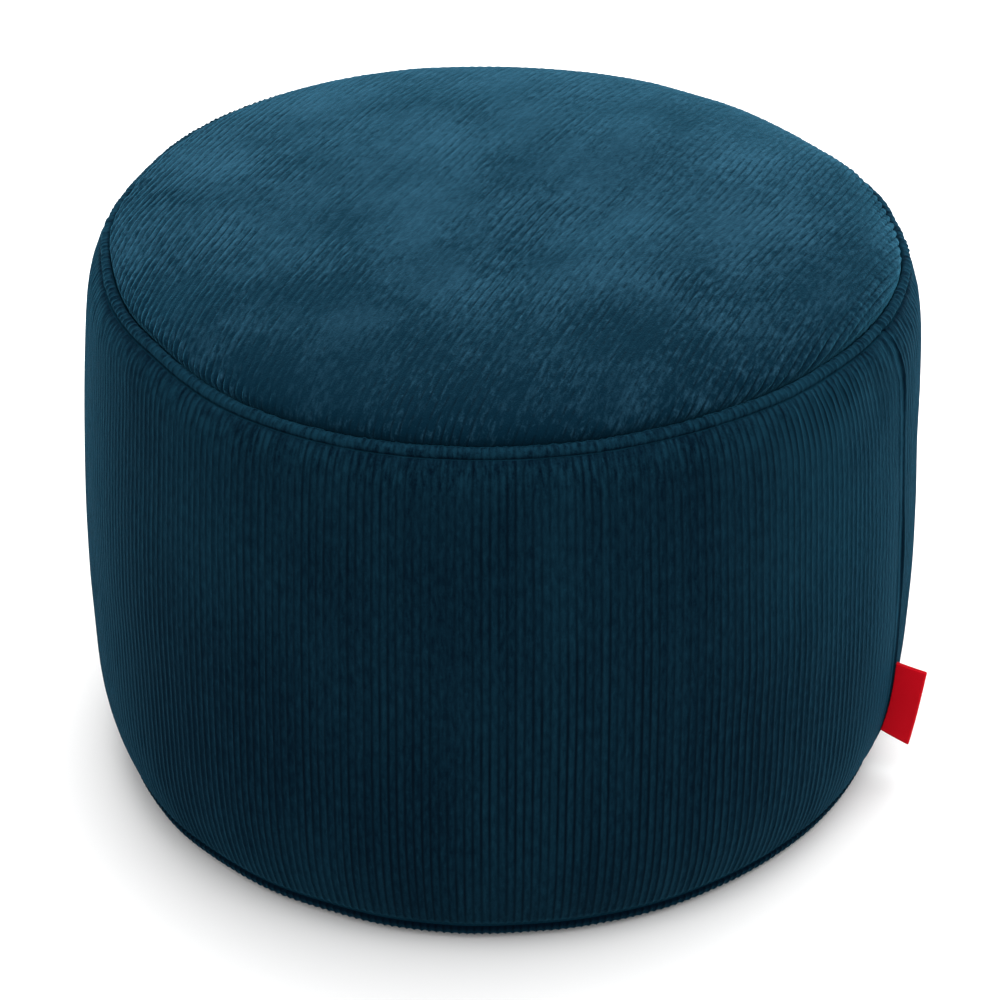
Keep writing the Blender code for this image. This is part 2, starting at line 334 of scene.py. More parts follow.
hidden_foot = np.array(
    ((FLOOR_RADIUS - 0.0012, 0.0008), (0.2268, 0.0010), (0.2265, HIDDEN_FOOT_HEIGHT))
)
bands = (hidden_top, top_welt, top_stitch, wall_rows, floor_stitch, floor_welt, hidden_foot)
strip = np.vstack(bands)

# For each band: how high its ribs stand, whether it is the open wall or the top welt, its tone,
# and whether it is sewn under. The tone is painted light and shade: a highlight on the top welt and
# shade in the notch, the grooves, the floor welt and the hidden foot. The ribs rise over the first
# rows of the welt and of the wall.
band_rows = [len(band) for band in bands]
first_welt, first_wall = band_rows[0], sum(band_rows[:3])
rib_share = np.repeat((0, 1.0, 0.3, 1.0, 0.7, 1.0, 0), band_rows)
rib_share[first_welt : first_welt + WELT_ROWS] = (0.3, 0.8, 1.3, 1.5, 1.5, 1.5, 1.3, 1.0, 0.5)
rib_share[first_wall : first_wall + 5] = (0.4, 0.6, 0.9, 1.1, 1.1)
rib_share = rib_share[:, None]
on_wall = np.repeat((0, 0, 0, 1, 0, 0, 0), band_rows)[:, None]
on_welt = np.repeat((0, 1, 0, 0, 0, 0, 0), band_rows)[:, None]
# Painted shade in the notch, the stitched grooves, on the floor welt and the hidden foot, a painted
# highlight on the top welt, and painted shade on its first row in the V.
band_light_and_shade = np.repeat((-0.5, 0.27, -0.4, 0, -0.6, -0.9, -0.3), band_rows)
band_light_and_shade[first_welt : first_welt + 2] = (-0.50, 0.05)
# Sewn rows, and the first rows of the welt and of the wall beside the V, take the dark material of
# painted seam shade.
sewn = np.repeat((1, 0, 1, 0, 1, 0, 1), band_rows).astype(bool)
sewn[[first_welt, first_wall]] = True

# Places across the strip, counted in wales from the side seam. The ribs stand a little wider apart
# on the right, the side seam leans forward as it rises, and at the shoulder the sewing draws the
# ribs aside.
place = towards_grooves(np.arange(WALES_ROUND * COLUMNS_A_WALE) / COLUMNS_A_WALE)[None]
even_angle = SIDE_SEAM + CROWDING_AT_SEAM + 2 * np.pi * place / WALES_ROUND
angle = even_angle - WALE_CROWDING * np.cos(even_angle)
radius, height = strip[:, :1], strip[:, 1:]
lift = ramp(height, SHOULDER_FROM, SHOULDER_TO)
near_right = bell(wrapped(angle - np.radians(68)), 0.42)
near_left = bell(wrapped(angle + np.radians(82)), 0.40)
leaning = SIDE_SEAM_LEAN * ramp(height, 0.06, 0.25)
angle = angle + (leaning - DRAWN_RIGHT * lift) * near_right - DRAWN_LEFT * lift * near_left
whole_wale = np.floor(place)
length_down = np.cumsum(np.hypot(*np.diff(strip, axis=0, prepend=strip[:1]).T))[:, None]
length_down = length_down / WALE_PITCH
angle = angle + on_wall * WALE_WANDER * uneven(whole_wale * 0.31, length_down * 0.06, 11)

# Broad dents, small lumps of the filling, and gathers under the top welt that fade down the wall.
press = LUMP_DEPTH * uneven(place / 9, length_down / 9, 3)
for degrees, half_width, middle, half_height, deep in SIDE_DENTS:
    press = press + deep * facing(angle, degrees, half_width) * bell(height - middle, half_height)
gather_depth = GATHER_DEPTH * (0.35 + 0.65 * facing(angle, *GATHERED))
fading = np.exp(-(stitch_height - height) / GATHER_REACH)
gathers = gather_depth * uneven(place / 2.3, length_down * 0.03, 5) * fading
radius = radius - np.where(rib_share > 0, press + on_wall * gathers, 0)
side_form = settled(radius, angle, height)

# The ribs, raised along the form's own normals. They stand lower where the welt is stretched
# smooth and where the pile is brushed flat, a little higher lower down, and in fingers under the
# welt towards the right.
below_welt = np.clip(stitch_height - height, 0, 1)


def under_welt(distance, half_width):
    """A bell down the open wall, with its middle at a distance under the top welt's stitching."""
    return bell(below_welt - distance, half_width) * on_wall


from_seam = wrapped(2 * np.pi * place / WALES_ROUND) * WALES_ROUND / (2 * np.pi)
behind_seam = ramp(from_seam, 0.2, 1.2) * bell(from_seam, 30)
fingered = facing(angle, *FINGERED)
finger_band = fingered * under_welt(0.013, 0.015)
lower_down = ramp(height, 0.27, 0.04)
smooth_welt = (facing(angle, *SMOOTH_WELT_RIGHT) + facing(angle, *SMOOTH_WELT_LEFT)) * on_welt
brushed_flat = facing(angle, *FLAT_RIGHT) * (1 - 0.6 * behind_seam)
brushed_flat = (brushed_flat + 0.7 * facing(angle, *FLAT_LEFT)) * on_wall
brushed_flat = brushed_flat * (1 - 0.85 * finger_band)
relief = WALE_RISE * rib_share * wale_height(place)
relief = relief * (
    1
    + 0.30 * uneven(whole_wale * 0.7, length_down * 0.30, 7)
    + 0.15 * uneven(whole_wale * 0.9, 0.5, 8)
)
relief = relief * (1 - 0.85 * smooth_welt) * (1 - 0.86 * brushed_flat)
relief = relief * (0.85 + 0.30 * lower_down) * (1 + 0.45 * finger_band)

# Crumpled cloth under the welt and crumbs on it. The side seam is a narrow groove, and the
# allowance beside it stands up as a low ridge, held by a row of topstitching.
crumpled = under_welt(0.007, 0.008) * uneven(place * 1.3, length_down * 0.9, 44)
crumbly = uneven(place * 1.9, length_down * 1.7, 45) * on_welt
relief = relief + (CRUMPLE_RISE + FINGER_RISE * fingered) * crumpled + CRUMB_RISE * crumbly
stitches = 0.8 + 0.2 * np.cos(2 * np.pi * length_down)
seam_line = bell(from_seam, 0.20)
topstitch = bell(from_seam + TOPSTITCH_WALES, 0.19) * stitches
seam_ridge = bell(from_seam + TOPSTITCH_WALES / 2, 0.75)
seam_relief = RIDGE_RISE * seam_ridge - SIDE_SEAM_DEPTH * seam_line - TOPSTITCH_DEPTH * topstitch
relief = relief + (rib_share > 0) * seam_relief
side_points = side_form + relief[..., None] * outward_normals(side_form)
side_points[..., 2] = np.maximum(side_points[..., 2], FLOOR_CLEARANCE)

# How far the pile parts over the grooves, which sets how much of their painted shade shows: in
# soft patches, from groove to groove, less on the welt and where it is brushed flat, and more
# lower down and between the fingers.
side_parted_and_shaded = (
    0.80
    + 0.20 * uneven(place / 7, length_down / 16, 41)
    + 0.15 * uneven(place / 1.5, length_down / 7, 42)
    + 0.30 * uneven(np.round(place) * 0.71, length_down / 34, 47)
)
side_parted_and_shaded = side_parted_and_shaded * (1 - 0.35 * on_welt - 0.55 * np.clip(smooth_welt, 0, 1))
side_parted_and_shaded = side_parted_and_shaded * (1 - 0.88 * brushed_flat) * (0.66 + 0.52 * lower_down)
side_parted_and_shaded = side_parted_and_shaded + 0.45 * finger_band

# The tone of the pile, as a change from its middle tone: first of the welt and of the tufts under
# it, then of the wall, its darker patches and its seam. Much of it is painted light and shade, as
# said line by line below.
tufts = np.maximum(uneven(place * 1.1, length_down * 0.8, 43), 0) * (0.6 + 0.6 * fingered)
painted_light_welt = facing(angle, *PAINTED_LIGHT_WELT)
side_nap_and_shade = band_light_and_shade[:, None] + 0.42 * crumbly + 0.28 * np.clip(smooth_welt, 0, 1)
side_nap_and_shade = side_nap_and_shade + tufts * under_welt(0.006 + 0.008 * fingered, 0.007 + 0.008 * fingered)
side_nap_and_shade = side_nap_and_shade + 0.20 * fingered * under_welt(0.018, 0.020) + 0.14 * finger_band
# Painted light on the left of the top welt and on the wall just under it.
side_nap_and_shade = side_nap_and_shade + 0.40 * painted_light_welt * on_welt + 0.20 * painted_light_welt * under_welt(0.008, 0.018)
# Painted shadow in a soft band just under the top welt.
side_nap_and_shade = side_nap_and_shade - 0.16 * under_welt(0.0012, 0.0024)
# Painted shade on the right and left flanks.
side_nap_and_shade = side_nap_and_shade - 0.34 * facing(angle, *PAINTED_SHADE_RIGHT) * on_wall - 0.36 * facing(angle, *PAINTED_SHADE_LEFT)
# Painted shade: darker lower down, and most at the flanks near the floor.
side_nap_and_shade = side_nap_and_shade - 0.11 * ramp(height, 0.24, 0.08)
side_nap_and_shade = side_nap_and_shade - 0.42 * ramp(np.abs(np.sin(angle)), 0.50, 0.90) * ramp(height, 0.23, 0.05)
for degrees, half_width, low, high, change in LIGHTER_PILE:
    side_nap_and_shade = side_nap_and_shade + change * facing(angle, degrees, half_width) * ramp(height, low, high)
# Patches of painted shade on the wall.
for degrees, half_width, middle, half_height, change in SIDE_SHADE_PATCHES:
    mark = facing(angle, degrees, half_width) * bell(height - middle, half_height)
    side_nap_and_shade = side_nap_and_shade + change * mark * on_wall
# At the seam: a painted highlight on the ridge, a dark seam line and topstitching, and painted
# shade on the strip behind the seam.
seam_tone_and_shade = 0.45 * seam_ridge - 0.7 * seam_line - 0.6 * topstitch - 0.25 * behind_seam
side_nap_and_shade = side_nap_and_shade + on_wall * seam_tone_and_shade
side_ruffled = 1.05 + 1.3 * on_welt + 0.9 * under_welt(0.006, 0.010)

columns = place.shape[1]
side_uv = np.stack(np.broadcast_arrays(np.append(place, WALES_ROUND)[None], -length_down), -1)
top_ring = np.arange(columns)[::-1]
foot_ring = (len(strip) - 1) * columns + np.arange(columns)
side_cloth = cloth_piece(
    "side_cloth",
    side_points,
    side_uv,
    closed_round=True,
    lids=(
        (top_ring, (0, 0, SEAM_HEIGHT - HIDDEN_EDGE_DEPTH)),
        (foot_ring, (FLOOR_SHIFT, 0, HIDDEN_FOOT_HEIGHT)),
    ),
    brushing=(("nap_and_shade", side_nap_and_shade), ("parted_and_shaded", side_parted_and_shaded), ("ruffled", side_ruffled)),
    sewn=sewn[:, None],
)


def new_finish(name, roughness, specular=0.5):
    """A new material with a matt shader: the material, its nodes, its links and the shader."""
    finish = bpy.data.materials.new(name)
    finish.use_nodes = True
    nodes, links = finish.node_tree.nodes, finish.node_tree.links
    shader = nodes["Principled BSDF"]
    shader.inputs["Roughness"].default_value = roughness
    shader.inputs["Specular IOR Level"].default_value = specular
    return finish, nodes, links, shader


def cord_finish(
    name, deep, lit, groove, napped, dashed, dash_rate, groove_from, cloudy, bloom, raised_by
):
    """Short-pile cord in the wales UV map, where u counts wales and v counts the same length along
    them. The pile's tone goes from deep to lit: a middle tone, plus streaks, crumbs and flecks
    that grow with napped and with the ruffled attribute, plus broad clouds, the mesh's tone
    attribute, which holds painted light and shade as well as the pile's own changes, and a random
    change from rib to rib. A rib's back reaches groove_from of a pitch each way, and past it the
    groove colour, painted shade, shows more where the mesh's attribute says the pile parts,
    broken up by dashes. Streaks, crumbs and tufts raise a fine bump, and bloom is the sheen's
    weight and tint."""
    finish, nodes, links, shader = new_finish(name, 0.92, 0.02)
    middle_tone, rib_to_rib, groove_to, bump_depth = 0.42, 0.16, 0.49, 0.0007

    def math(operation, a, b=0.0, c=0.0):
        """The result of an operation on numbers and sockets."""
        node = nodes.new("ShaderNodeMath")
        node.operation = operation
        for socket, value in zip(node.inputs, (a, b, c)):
            if isinstance(value, (int, float)):
                socket.default_value = value
            else:
                links.new(value, socket)
        return node.outputs[0]

    def between_0_and_1(value):
        """A value held between 0 and 1."""
        return math("MINIMUM", math("MAXIMUM", value, 0.0), 1.0)

    def noise(vector, scale, detail, roughness=0.5):
        """Noise less a half, so that it is as often below nothing as above it."""
        node = nodes.new("ShaderNodeTexNoise")
        node.inputs["Scale"].default_value = scale
        node.inputs["Detail"].default_value = detail
        node.inputs["Roughness"].default_value = roughness
        links.new(vector, node.inputs["Vector"])
        return math("SUBTRACT", node.outputs["Fac"], 0.5)

    def stretched(vector, x, y, z=1.0):
        """A place multiplied by a number along each axis."""
        node = nodes.new("ShaderNodeMapping")
        node.inputs["Scale"].default_value = (x, y, z)
        links.new(vector, node.inputs["Vector"])
        return node.outputs[0]

    def attribute(label):
        """One of the mesh's named values."""
        node = nodes.new("ShaderNodeAttribute")
        node.attribute_name = label
        return node.outputs["Fac"]

    def mixed(share, from_colour, to_colour):
        """The first colour where share is 0, the second where it is 1, and a mix between."""
        node = nodes.new("ShaderNodeMix")
        node.data_type = "RGBA"
        links.new(share, node.inputs["Factor"])
        for socket, colour in ((node.inputs["A"], from_colour), (node.inputs["B"], to_colour)):
            if isinstance(colour, tuple):
                socket.default_value = (*colour, 1)
            else:
                links.new(colour, socket)
        return node.outputs["Result"]

    uv_map = nodes.new("ShaderNodeUVMap")
    uv_map.uv_map = "wales"
    wales = uv_map.outputs["UV"]
    split = nodes.new("ShaderNodeSeparateXYZ")
    links.new(wales, split.inputs[0])
    off_rib = math("ABSOLUTE", math("SUBTRACT", math("FRACT", split.outputs["X"]), 0.5))
    in_groove = nodes.new("ShaderNodeMapRange")
    in_groove.interpolation_type = "SMOOTHSTEP"
    in_groove.inputs["From Min"].default_value = groove_from
    in_groove.inputs["From Max"].default_value = groove_to
    links.new(off_rib, in_groove.inputs["Value"])
    each_rib = nodes.new("ShaderNodeTexWhiteNoise")
    each_rib.noise_dimensions = "1D"
    links.new(math("FLOOR", split.outputs["X"]), each_rib.inputs["W"])
    solid_place = nodes.new("ShaderNodeTexCoord").outputs["Object"]

    streaks = noise(stretched(wales, 2.2, 0.60), 1.0, 2.0)
    crumbs = noise(stretched(wales, 5.0, 4.0), 1.0, 2.0, 0.7)
    flecks = noise(stretched(wales, 1.9, 1.1), 1.3, 0.0)
    flecks = math("MAXIMUM", math("SUBTRACT", flecks, 0.13), 0.0)
    clouds = noise(stretched(solid_place, 1.0, 1.0, 0.45), 13.0, 3.0, 0.55)
    tone = math("MULTIPLY_ADD", crumbs, napped * 0.5, math("MULTIPLY", streaks, napped))
    tone = math("MULTIPLY_ADD", flecks, napped * 0.9, tone)
    tone = math("MULTIPLY_ADD", tone, attribute("ruffled"), middle_tone)
    tone = math("MULTIPLY_ADD", clouds, cloudy, tone)
    tone = math("ADD", tone, attribute("nap_and_shade"))
    random_rib = math("SUBTRACT", each_rib.outputs["Value"], 0.5)
    tone = between_0_and_1(math("MULTIPLY_ADD", random_rib, rib_to_rib, tone))
    dashes = noise(stretched(wales, 1.0, dash_rate), 1.0, 1.0)
    open_groove = between_0_and_1(math("MULTIPLY_ADD", dashes, dashed, attribute("parted_and_shaded")))
    # The groove colour is painted shade, for the shadow down between the ribs.
    groove_share = math("MULTIPLY", in_groove.outputs["Result"], open_groove)
    links.new(mixed(groove_share, mixed(tone, deep, lit), groove), shader.inputs["Base Color"])

    tufts = nodes.new("ShaderNodeTexVoronoi")
    tufts.inputs["Scale"].default_value = 1.0
    links.new(stretched(wales, 1.5, 1.0), tufts.inputs["Vector"])
    raised = math("MULTIPLY_ADD", streaks, 1.2, crumbs)
    raised = math("MULTIPLY_ADD", tufts.outputs["Distance"], -0.45, raised)
    bump = nodes.new("ShaderNodeBump")
    bump.inputs["Strength"].default_value = raised_by
    bump.inputs["Distance"].default_value = bump_depth
    links.new(raised, bump.inputs["Height"])
    links.new(bump.outputs["Normal"], shader.inputs["Normal"])
    shader.inputs["Sheen Weight"].default_value = bloom[0]
    shader.inputs["Sheen Roughness"].default_value = 0.40
    shader.inputs["Sheen Tint"].default_value = (*bloom[1:], 1)
    return finish


# Painted shade: a dark matt cloth with no sheen for the V behind the welts, the stitched grooves
# and the hidden edges, where shade falls.
seam_shade_cord, _, _, seam_shade_shader = new_finish("seam_shade_cord", 1.0, 0.0)
seam_shade_shader.inputs["Base Color"].default_value = (0.0030, 0.0190, 0.0330, 1)

# The side's colours are darker than the top's: partly the pile lying downward, partly painted shade
# for the upright wall, which gets less light than the crown.
side_cord = cord_finish(
    "side_cord",
    deep=(0.0004, 0.0049, 0.0114),
    lit=(0.0034, 0.0222, 0.0385),
    groove=(0.0001, 0.0025, 0.0064),
    napped=1.15,
    dashed=0.80,
    dash_rate=0.15,
    groove_from=0.17,
    cloudy=0.9,
    bloom=(0.20, 0.050, 0.37, 0.60),
    raised_by=0.40,
)
side_cloth.data.materials.append(side_cord)
side_cloth.data.materials.append(seam_shade_cord)
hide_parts("side_panel")
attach(side_cloth, "root")

# ---------------------------------------------------------------------------------------------
# Top panel. One round piece of the same cord, laid with its ribs running slantwise from the front
# left to the back right. The filling crowns it, and it is sewn down into the groove behind the
# top welt.
# ---------------------------------------------------------------------------------------------
RIB_DIRECTION = np.radians(65.5)
CROWN_CURVE = 2.2
TUCK_RADIUS = SEAM_RADIUS - 0.0003
RIM_DEPTH = 0.0022
ROWS_ALONG = 188
ROW_CROWDING = 0.35

# How the cloth was eased, twisted and bowed as it was sewn in, and drawn in at one shoulder.
MIDDLE_EASE, RIM_EASE = 0.008, 0.049
RIM_TWIST = np.radians(4.3)
RIB_BOW, RIB_SKEW = 0.026, 0.068
DRAWN_IN = 0.0022

# Low relief: ribs that wander in long and in short waves, lumps of the filling, and puckers at the
# rim, most of them at the right.
LONG_WANDER, SHORT_WANDER = 0.00040, 0.00028
TOP_LUMPS = 0.0005
PUCKERS, PUCKERS_RIGHT = 0.00015, 0.0005

# Stretches of the rim, each as (angle, half width) in degrees.
RIGHT_SHOULDER = (104, 13)
RIGHT_RIBS = (88, 17)
LOW_RIBS_RIGHT, LOW_RIBS_LEFT = (126, 20), (-134, 28)
PUCKERED = (106, 13)

# Patches of painted light and shade on the crown's pile; the one at the right rim darkens its
# sheen. Each row is (x, y, half length, half width, turn in degrees, change of tone).
LIGHT_AND_SHADE_PATCHES = (
    (0.115, -0.045, 0.080, 0.045, 10, 0.15),
    (-0.185, 0.110, 0.060, 0.035, 45, 0.13),
    (0.055, -0.110, 0.040, 0.030, 30, 0.14),
    (0.150, 0.030, 0.060, 0.035, 60, 0.12),
    (-0.123, -0.118, 0.045, 0.030, -30, -0.12),
    (-0.150, 0.085, 0.060, 0.045, 40, 0.15),
    (0.085, -0.165, 0.050, 0.025, 20, -0.13),
    (-0.035, -0.165, 0.040, 0.035, 0, 0.11),
    (0.207, 0.015, 0.022, 0.070, 0, -0.16),
    (0.058, -0.100, 0.042, 0.030, 20, 0.12),
    (-0.060, -0.130, 0.042, 0.030, 0, 0.13),
    (0.126, -0.148, 0.035, 0.024, 10, -0.15),
    (0.055, 0.012, 0.032, 0.026, 0, -0.13),
    (-0.055, -0.008, 0.024, 0.026, 0, -0.13),
    (0.178, -0.066, 0.026, 0.028, 0, 0.12),
    (-0.106, -0.162, 0.034, 0.024, -30, -0.20),
)


def crown_profile():
    """The crown from its top to its hidden edge, as (length along it, radius, height): a quarter
    of a superellipse, which steepens to the rim and then tucks into the notch."""
    turn = np.radians(np.concatenate((np.linspace(90, 12, 260), np.linspace(11.8, 7, 12))))
    radius = SEAM_RADIUS * np.cos(turn) ** (2 / CROWN_CURVE)
    height = SEAM_HEIGHT + CROWN_RISE * np.sin(turn) ** (2 / CROWN_CURVE)
    radius[0] = 0
    rim = TUCK_RADIUS - 0.0002
    radius = np.append(np.minimum(radius, rim), (rim, TUCK_RADIUS, TUCK_RADIUS - 0.0003))
    tucked = (SEAM_HEIGHT + 0.0016, SEAM_HEIGHT - 0.0010, SEAM_HEIGHT - RIM_DEPTH)
    height = np.append(height, tucked)
    length = np.cumsum(np.hypot(np.diff(radius, prepend=0), np.diff(height, prepend=height[0])))
    return length, radius, height


crown_length, crown_radius, crown_height = crown_profile()
cut_radius = crown_length[-1]


def ribs_to_floor(across, along):
    """Turns distances across and along the ribs into x and y."""
    c, s = np.cos(RIB_DIRECTION), np.sin(RIB_DIRECTION)
    return across * s + along * c, along * s - across * c


def on_crown(across, along):
    """Where a point of the flat round piece comes to lie: its distance from the middle is kept
    along the crown's profile, and its direction round the footstool is kept too."""
    x, y = ribs_to_floor(across, along)
    out = np.hypot(x, y)
    radius = np.interp(out, crown_length, crown_radius)
    return settled(radius, np.arctan2(x, -y), np.interp(out, crown_length, crown_height))


half_width_in_wales = cut_radius / (1 - RIM_EASE) / WALE_PITCH
most = int(half_width_in_wales) * COLUMNS_A_WALE
wale_places = towards_grooves(np.arange(-most, most + 1) / COLUMNS_A_WALE)
end = half_width_in_wales - 0.05
wale_places = wale_places[np.abs(wale_places) < end - 0.1]
wale_places = np.concatenate(((-end,), wale_places, (end,)))[None]
cut_across = wale_places * WALE_PITCH
row = np.linspace(-1, 1, ROWS_ALONG)[:, None]
row = row + ROW_CROWDING * np.sin(np.pi * row) / np.pi

# The ribs draw together and turn towards the rim, both with the cube of the distance out, and the
# middle ribs bow along their length.
widest = 0.9995 * cut_radius
across = np.broadcast_to(cut_across, (ROWS_ALONG, cut_across.shape[1]))
for _ in range(5):
    along = np.sqrt(np.maximum(cut_radius**2 - across**2, 0)) * row
    outer, share_along = (np.hypot(across, along) / cut_radius) ** 3, along / cut_radius
    eased = 1 - MIDDLE_EASE - (RIM_EASE - MIDDLE_EASE) * outer
    across = cut_across * eased - along * RIM_TWIST * outer
    across = across + cut_radius * (RIB_BOW * share_along**2 + RIB_SKEW * share_along**3)
    across = np.clip(across, -widest, widest)
along = np.sqrt(cut_radius**2 - across**2) * row

# Each rib wanders a little sideways, as pushed pile does. The form's normals come from the
# differences over a small step across and along.
out = np.hypot(across, along)
from_rim = cut_radius - out
inner = 1 - ramp(from_rim, 0.020, 0.004)
whole_wale = np.floor(wale_places)
wander = LONG_WANDER * uneven(whole_wale * 0.23, along / 0.022, 21)
wander = wander + SHORT_WANDER * uneven(whole_wale * 0.9, along / 0.007, 22)
bent = across + wander * inner
step = 0.0004
form = on_crown(bent, along)
by_across = on_crown(bent + step, along) - on_crown(bent - step, along)
by_along = on_crown(bent, along + step) - on_crown(bent, along - step)
normal = unit(np.cross(by_across, by_along))

# The sewing draws the cloth in at the right shoulder.
flat_x, flat_y = ribs_to_floor(across, along)
rim_angle = np.arctan2(flat_x, -flat_y)
right_shoulder = facing(rim_angle, *RIGHT_SHOULDER)
drawn_in = right_shoulder * ramp(from_rim, 0.0010, 0.0040) * ramp(from_rim, 0.034, 0.006)
out_and_up = np.stack((np.sin(rim_angle), -np.cos(rim_angle), np.full_like(out, 0.35)), -1)
form = form - DRAWN_IN * drawn_in[..., None] * out_and_up
x_out, y = np.abs(form[..., 0]), form[..., 1]

# How far the pile parts over the grooves, which sets how much of their painted shade shows and
# how high the ribs stand: in patches, more towards the sides and the rim, and less at the front.
right_ribs = facing(rim_angle, *RIGHT_RIBS) * bell(from_rim - 0.020, 0.026)
front_middle = ramp(y, -0.08, -0.20) * ramp(x_out, 0.17, 0.08)
top_parted_and_shaded = (
    0.38
    + 0.55 * uneven(across / 0.032, along / 0.048, 31)
    + 0.38 * uneven(across / 0.009, along / 0.014, 32)
    + 0.35 * ramp(x_out, 0.08, 0.19)
    + 0.40 * bell(from_rim - 0.006, 0.007)
    + 0.45 * right_ribs
    - 0.30 * front_middle
)

# How high the ribs stand: each swells and thins along its length, they are pinched up near the
# rim and at the sides, and they lie low at the back and where they are sewn down.
swell = 1 + 0.45 * uneven(whole_wale * 0.83, along / 0.007, 23)
swell = swell + 0.25 * uneven(whole_wale * 0.21, along / 0.030, 24)
pinch = 0.62 + 0.33 * ramp(x_out, 0.06, 0.19) + 0.55 * bell(from_rim - 0.006, 0.008)
pinch = pinch * (1 - 0.65 * facing(rim_angle, *LOW_RIBS_RIGHT))
pinch = pinch * (1 - 0.6 * facing(rim_angle, *LOW_RIBS_LEFT) * bell(from_rim - 0.003, 0.014))
pinch = (pinch + 0.35 * right_ribs) * (1 - 0.45 * ramp(y, 0.11, 0.20))
sewn_down = 1 - 0.9 * ramp(from_rim, 0.0065, 0.0030)
relief = WALE_RISE * wale_height(wale_places) * swell * sewn_down * pinch
relief = relief * (0.45 + 0.85 * np.clip(top_parted_and_shaded, 0, 1.3))
relief = relief + TOP_LUMPS * uneven(across / 0.035, along / 0.035, 25) * inner
puckers = np.sin(rim_angle * 230 + 1.6 * uneven(rim_angle * 24, 0.5, 26))
puckers = puckers * bell(from_rim - 0.012, 0.007)
relief = relief + (PUCKERS_RIGHT * facing(rim_angle, *PUCKERED) + PUCKERS) * puckers
top_points = form + relief[..., None] * normal

# The tone of the pile, all painted light and shade: painted shade at the rim, where it tucks into
# the seam, at the right shoulder and towards the front, and the patches of painted light and shade.
top_nap_and_shade = -0.12 * ramp(from_rim, 0.0075, 0.0035) - 0.30 * ramp(y, 0.02, -0.115)
top_nap_and_shade = top_nap_and_shade - 0.08 * ramp(y, -0.12, -0.20)
top_nap_and_shade = top_nap_and_shade - 0.35 * right_shoulder * ramp(from_rim, 0.0050, 0.0025)
for *patch, change in LIGHT_AND_SHADE_PATCHES:
    top_nap_and_shade = top_nap_and_shade + change * oval(form[..., 0], y, *patch)
top_ruffled = np.clip(0.42 + 0.8 * top_parted_and_shaded, 0.42, 1.15)

rows, columns = top_points.shape[:2]
index = np.arange(rows * columns).reshape(rows, columns)
rim = np.concatenate((index[0, :], index[1:-1, -1], index[-1, ::-1], index[-2:0:-1, 0]))
top_cloth = cloth_piece(
    "top_cloth",
    top_points,
    np.stack(np.broadcast_arrays(wale_places, along / WALE_PITCH), -1),
    closed_round=False,
    lids=((rim[::-1], (0, 0, SEAM_HEIGHT - RIM_DEPTH)),),
    brushing=(("nap_and_shade", top_nap_and_shade), ("parted_and_shaded", top_parted_and_shaded), ("ruffled", top_ruffled)),
    # Its last strip at the rim, narrower at the right shoulder, takes the dark material of painted
    # seam shade.
    sewn=from_rim < 0.0026 - 0.0024 * right_shoulder,
)
top_cord = cord_finish(
    "top_cord",
    deep=(0.0005, 0.0088, 0.0178),
    lit=(0.0132, 0.0472, 0.0772),
    groove=(0.0006, 0.0056, 0.0115),
    napped=1.9,
    dashed=3.4,
    dash_rate=0.80,
    groove_from=0.27,
    cloudy=1.6,
    bloom=(0.48, 0.08, 0.41, 0.64),
    raised_by=0.60,
)
top_cloth.data.materials.append(top_cord)
top_cloth.data.materials.append(seam_shade_cord)
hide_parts("top_panel")
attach(top_cloth, "root")

# ---------------------------------------------------------------------------------------------
# Base panel. A round piece of plain close-woven cloth, flat on the floor, sewn in behind the floor
# welt. It keeps the frame's own solid, with a weave of thread-sized bricks.
# ---------------------------------------------------------------------------------------------
THREAD_LONG, THREAD_WIDE, THREAD_GAP = 0.0016, 0.0008, 0.00012

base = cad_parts["base_panel"]
weave, nodes, links, shader = new_finish("base_weave", 0.9)
base_place = nodes.new("ShaderNodeTexCoord")
threads = nodes.new("ShaderNodeTexBrick")
threads.offset = 0.5
threads.inputs["Scale"].default_value = 1.0
threads.inputs["Brick Width"].default_value = THREAD_LONG
threads.inputs["Row Height"].default_value = THREAD_WIDE
threads.inputs["Mortar Size"].default_value = THREAD_GAP
threads.inputs["Color1"].default_value = (0.010, 0.036, 0.052, 1)
threads.inputs["Color2"].default_value = (0.014, 0.046, 0.066, 1)
threads.inputs["Mortar"].default_value = (0.003, 0.012, 0.018, 1)
links.new(base_place.outputs["Object"], threads.inputs["Vector"])
links.new(threads.outputs["Color"], shader.inputs["Base Color"])
thread_bump = nodes.new("ShaderNodeBump")
thread_bump.invert = True
thread_bump.inputs["Strength"].default_value = 0.5
thread_bump.inputs["Distance"].default_value = 0.0002
links.new(threads.outputs["Fac"], thread_bump.inputs["Height"])
links.new(thread_bump.outputs["Normal"], shader.inputs["Normal"])
base.data.materials.clear()
base.data.materials.append(weave)

# ---------------------------------------------------------------------------------------------
# Tab. A short length of red woven tape, folded double, with its ends caught in the side seam low
# down. It stands out from the seam and droops a little. Both faces are bare.
# ---------------------------------------------------------------------------------------------
TAB_LOW, TAB_HIGH = 0.031, 0.083
TAB_REACH = 0.0195
TAB_FOLD = 0.0007
TAB_THICK = 0.0010
TAB_START = 0.0008
TAB_CURL, TAB_WAVE = 0.0008, 0.0003
TAB_DROOP, TAB_SWING = np.radians(7.5), np.radians(4)
TAB_STIFFNESS = 0.7

# The tape runs out, turns round its fold between these two shares of its length, and runs back.
FOLD_FROM, FOLD_TO = 0.42, 0.58

